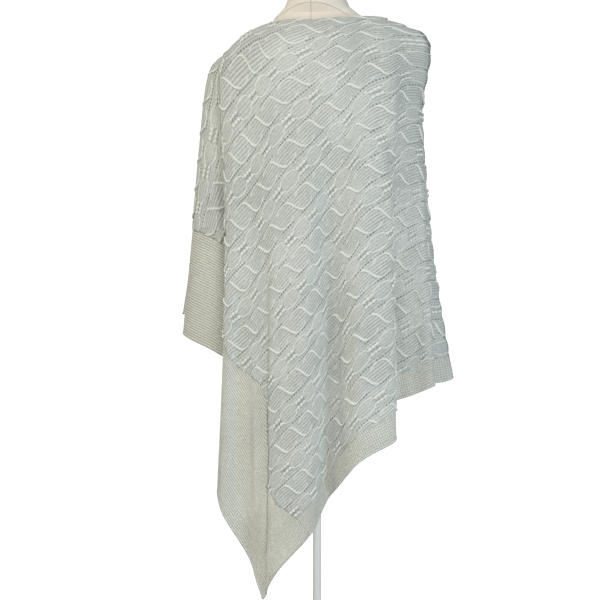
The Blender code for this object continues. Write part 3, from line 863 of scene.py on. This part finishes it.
def halves():
    for side in (BACK, FRONT):
        if side not in DRAPES:
            DRAPES[side] = Drape(side)
    return (BACK, FRONT)


def half_length(side):
    return HALF_LENGTH - (FRONT_TRIM if side == FRONT else 0.0)


def trimming(piece):
    """Says that strands or loops ride on the root."""
    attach(piece, "root")


def hung(piece, node):
    """Says what a finished cloth piece rides on, and hides the part it replaces."""
    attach(piece, "root")
    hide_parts(node)


class PONCHO_OT_panels(bpy.types.Operator):
    """Knit the two cabled panels and hang them over the form"""
    bl_idname = "poncho.panels"
    bl_label = "Cabled Panels"

    def execute(self, context):
        sizes, _ = settings()
        tree = repeat_tree()
        units = {"wave": wave_unit(sizes), "knot": knot_unit(sizes)}
        for side in halves():
            word = WORDS[side]
            end = side * PANEL_LENGTH
            xs = steps_for(0.0, end, sizes.face_along)
            ys = steps_for(0.0, PANEL_WIDTH, sizes.face_across)
            panel = shell(word + "_cabled_panel", xs, ys, panel_relief, side)
            panel.data.materials.append(panel_knit())
            strands = []
            for kind, period, phase, first in (("wave", WAVE_PERIOD, WAVE_PHASE, 0.5 * COLUMN),
                                               ("knot", KNOT_PERIOD, KNOT_PHASE, 1.5 * COLUMN)):
                repeats = math.ceil(PANEL_LENGTH / period) + 4
                start = math.floor(min(0.0, end) / period - 2) * period
                start -= SPARE_PAIRS * phase * period
                mesh = grown(word + "_" + kind + "_strands", tree, **{
                    "Unit": units[kind], "Repeats": repeats, "Columns": COLUMN_PAIRS + SPARE_PAIRS,
                    "Repeat Length": period, "Column Pitch": 2 * COLUMN,
                    "First Column": first - SPARE_PAIRS * 2 * COLUMN,
                    "Phase": phase, "Start": start, "Material": strand_knit()})
                clipped(mesh, side)
                strands.append(self.hang_strands(mesh, side))
            for piece in strands:
                trimming(piece)
            hung(panel, word + "_panel")
        for unit in units.values():
            bpy.data.objects.remove(unit)
        return {"FINISHED"}

    def hang_strands(self, mesh, side):
        flat = np.empty(len(mesh.vertices) * 3)
        mesh.vertices.foreach_get("co", flat)
        flat = flat.reshape(-1, 3)
        flat_map(mesh, flat, True)
        mesh.vertices.foreach_set("co", DRAPES[side].hang(flat).ravel())
        mesh.update()
        mesh.shade_smooth()
        return placed(mesh.name, mesh)


class PONCHO_OT_bands(bpy.types.Operator):
    """Knit the wide end borders and the narrow side borders"""
    bl_idname = "poncho.bands"
    bl_label = "Borders"

    def execute(self, context):
        for side in halves():
            word = WORDS[side]
            length = half_length(side)
            end = shell(word + "_end_border",
                        steps_for(side * PANEL_LENGTH, side * length, END_MESH_ALONG),
                        steps_for(0.0, WIDTH, END_MESH_ACROSS), end_band_relief, side)
            end.data.materials.append(band_knit())
            hung(end, word + "_end_band")
            low = shell(word + "_side_border",
                        steps_for(0.0, side * PANEL_LENGTH, SIDE_MESH_ALONG),
                        steps_for(PANEL_WIDTH, WIDTH, SIDE_MESH_ACROSS), side_band_relief, side)
            low.data.materials.append(band_knit())
            hung(low, word + "_side_band")
        return {"FINISHED"}


class PONCHO_OT_edges(bpy.types.Operator):
    """Cast off the neck, seam and hem edges in loops, and leave the yarn tails at the low tip"""
    bl_idname = "poncho.edges"
    bl_label = "Edge Loops"

    def execute(self, context):
        tree = bpy.data.node_groups["repeat_in_columns"]
        unit = loop_unit()
        for side in halves():
            length = half_length(side)
            # start, end, place across the edge, whether the edge runs across the cloth
            edges = ((0.004, NECK_END, 0.0004, False),
                     (NECK_END, length, 0.0012, False),
                     (0.004, length, WIDTH - 0.0002, False),
                     (0.002, WIDTH - 0.002, length - 0.0002, True))
            flats, faces = [], []
            for start, end, away, turned in edges:
                count = round((end - start) / LOOP_PITCH)
                mesh = grown("loops", tree, **{
                    "Unit": unit, "Repeats": count, "Columns": 1,
                    "Repeat Length": (end - start) / count,
                    "Column Pitch": 0.0, "First Column": 0.0, "Phase": 0.0, "Start": start,
                    "Material": strand_knit()})
                flat = np.empty(len(mesh.vertices) * 3)
                mesh.vertices.foreach_get("co", flat)
                flat = flat.reshape(-1, 3) + (0.0, away, 0.0006)
                flips = side == FRONT
                if turned:
                    flat = flat[:, [1, 0, 2]]
                    flips = not flips
                flat[:, 0] *= side
                base = sum(len(some) for some in flats)
                for face in mesh.polygons:
                    corners = [base + i for i in face.vertices]
                    faces.append(corners[::-1] if flips else corners)
                flats.append(flat)
                bpy.data.meshes.remove(mesh)
            if side == BACK:
                for path in TAILS:
                    points = np.array(path) + (HALF_LENGTH, WIDTH, 0.0)
                    steps = np.linspace(0, len(points) - 1, 14)
                    line = np.stack([smooth(np.arange(len(points)), points[:, k], steps)
                                     for k in range(3)], 1)
                    tail, sides = tube(line, TAIL_RADIUS, TAIL_RADIUS, TUBE_SIDES, True)
                    base = sum(len(some) for some in flats)
                    faces += [[base + i for i in face] for face in sides]
                    flats.append(tail)
            piece = cloth_object(WORDS[side] + "_edge_loops", np.concatenate(flats), faces,
                                 side, {}, False)
            piece.data.materials.append(panel_knit())
            trimming(piece)
        bpy.data.objects.remove(unit)
        return {"FINISHED"}


class PONCHO_OT_form(bpy.types.Operator):
    """Cover the form and enamel its stand"""
    bl_idname = "poncho.form"
    bl_label = "Form and Stand"

    def execute(self, context):
        _, colours = settings()
        finishes = {"form_torso": jersey_material(colours),
                    "form_neck_cap": enamel_material("cap_enamel", colours, 0.2),
                    "stand_pole": enamel_material("pole_enamel", colours, 0.5),
                    "stand_base": enamel_material("base_enamel", colours, 1.2)}
        for node, finish in finishes.items():
            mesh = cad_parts[node].data
            mesh.materials.clear()
            mesh.materials.append(finish)
        return {"FINISHED"}


CAMERA_AZIMUTH, CAMERA_DISTANCE, CAMERA_HEIGHT = 6.5, 2.6, 0.8616
CAMERA_SENSOR, VIEW_WIDTH, VIEW_SHIFT = 36.0, 1.128, -0.0283

# name, place, size, power, colour
LAMPS = (
    ("key", (0.8, -2.7, 1.0), 0.9, 29, (1.0, 0.99, 0.97)),
    ("high", (-1.5, -1.7, 2.9), 0.6, 27, (1.0, 0.95, 0.84)),
    ("fill", (2.6, -1.3, 0.9), 1.1, 20, (0.74, 0.90, 1.0)),
    ("warm", (-2.6, -1.2, 0.6), 1.2, 10, (1.0, 0.90, 0.66)),
    ("behind", (-0.8, 2.4, 2.6), 1.6, 26, (1.0, 0.98, 0.95)),
)


class PONCHO_OT_stage(bpy.types.Operator):
    """Set the floor, the soft lights and the camera"""
    bl_idname = "poncho.stage"
    bl_label = "Stage"

    def execute(self, context):
        _, colours = settings()
        camera_data = bpy.data.cameras.new("camera")
        camera = placed("camera", camera_data)
        azimuth = math.radians(CAMERA_AZIMUTH)
        camera.location = (CAMERA_DISTANCE * math.sin(azimuth),
                           -CAMERA_DISTANCE * math.cos(azimuth), CAMERA_HEIGHT)
        camera.rotation_euler = (math.pi / 2, 0.0, azimuth)
        camera_data.sensor_width = CAMERA_SENSOR
        camera_data.lens = CAMERA_SENSOR * CAMERA_DISTANCE / VIEW_WIDTH
        camera_data.shift_x = VIEW_SHIFT
        context.scene.camera = camera
        self.sweep(colours)
        for lamp in LAMPS:
            self.lamp(*lamp)
        world = bpy.data.worlds.new("studio")
        world.use_nodes = True
        sky = world.node_tree.nodes["Background"]
        sky.inputs["Color"].default_value = (0.93, 0.98, 1.0, 1.0)
        sky.inputs["Strength"].default_value = 0.23
        context.scene.world = world
        context.scene.view_settings.view_transform = "Standard"
        return {"FINISHED"}

    def lamp(self, name, place, size, power, colour):
        data = bpy.data.lights.new(name, "AREA")
        data.shape = "DISK"
        data.size = size
        data.energy = power
        data.color = colour
        lamp = placed(name, data)
        lamp.location = place
        aim = Vector((0.0, 0.0, 1.0)) - Vector(place)
        lamp.rotation_euler = aim.to_track_quat("-Z", "Y").to_euler()

    def sweep(self, colours):
        """A round floor whose edge curves up into a wall on every side."""
        radius, bend, top = 7.0, 2.0, 7.0
        arc = np.linspace(0, math.pi / 2, 13)
        profile = [(0.0, 0.0), (2.5, 0.0)]
        profile += [(radius - bend + bend * math.sin(a), bend - bend * math.cos(a)) for a in arc]
        profile.append((radius, top))
        bm = bmesh.new()
        verts = [bm.verts.new((x, 0.0, z)) for x, z in profile]
        edges = [bm.edges.new(pair) for pair in zip(verts, verts[1:])]
        bmesh.ops.spin(bm, geom=verts + edges, axis=(0, 0, 1), cent=(0, 0, 0),
                       angle=2 * math.pi, steps=96)
        bmesh.ops.remove_doubles(bm, verts=bm.verts, dist=1e-5)
        bmesh.ops.recalc_face_normals(bm, faces=bm.faces)
        mesh = bpy.data.meshes.new("studio_floor")
        bm.to_mesh(mesh)
        bm.free()
        mesh.shade_smooth()
        floor = placed("studio_floor", mesh)
        made, tree, shader = material("studio_floor", colours.floor[:], 0.9)
        shader.inputs["Emission Color"].default_value = (1.0, 1.0, 1.0, 1.0)
        shader.inputs["Emission Strength"].default_value = 0.90
        mesh.materials.append(made)
        floor.visible_diffuse = False
        floor.visible_glossy = False


class PONCHO_PT_sidebar(bpy.types.Panel):
    """Lists the poncho's settings and steps"""
    bl_idname = "PONCHO_PT_sidebar"
    bl_label = "Poncho"
    bl_space_type = "VIEW_3D"
    bl_region_type = "UI"
    bl_category = "Poncho"

    def draw(self, context):
        for group in (context.scene.poncho_sizes, context.scene.poncho_colours):
            for name in type(group).__annotations__:
                self.layout.prop(group, name)
        for step in STEPS:
            self.layout.operator(step.bl_idname)


STEPS = (PONCHO_OT_stage, PONCHO_OT_panels, PONCHO_OT_bands, PONCHO_OT_edges, PONCHO_OT_form)
CLASSES = (PonchoSizes, PonchoColours, *STEPS, PONCHO_PT_sidebar)


def register():
    for item in CLASSES:
        bpy.utils.register_class(item)
    bpy.types.Scene.poncho_sizes = bpy.props.PointerProperty(type=PonchoSizes)
    bpy.types.Scene.poncho_colours = bpy.props.PointerProperty(type=PonchoColours)


def unregister():
    del bpy.types.Scene.poncho_colours
    del bpy.types.Scene.poncho_sizes
    for item in reversed(CLASSES):
        bpy.utils.unregister_class(item)


def main():
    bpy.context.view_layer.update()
    register()
    for step in STEPS:
        group, name = step.bl_idname.split(".")
        getattr(getattr(bpy.ops, group), name)()


if __name__ == "__main__":
    main()
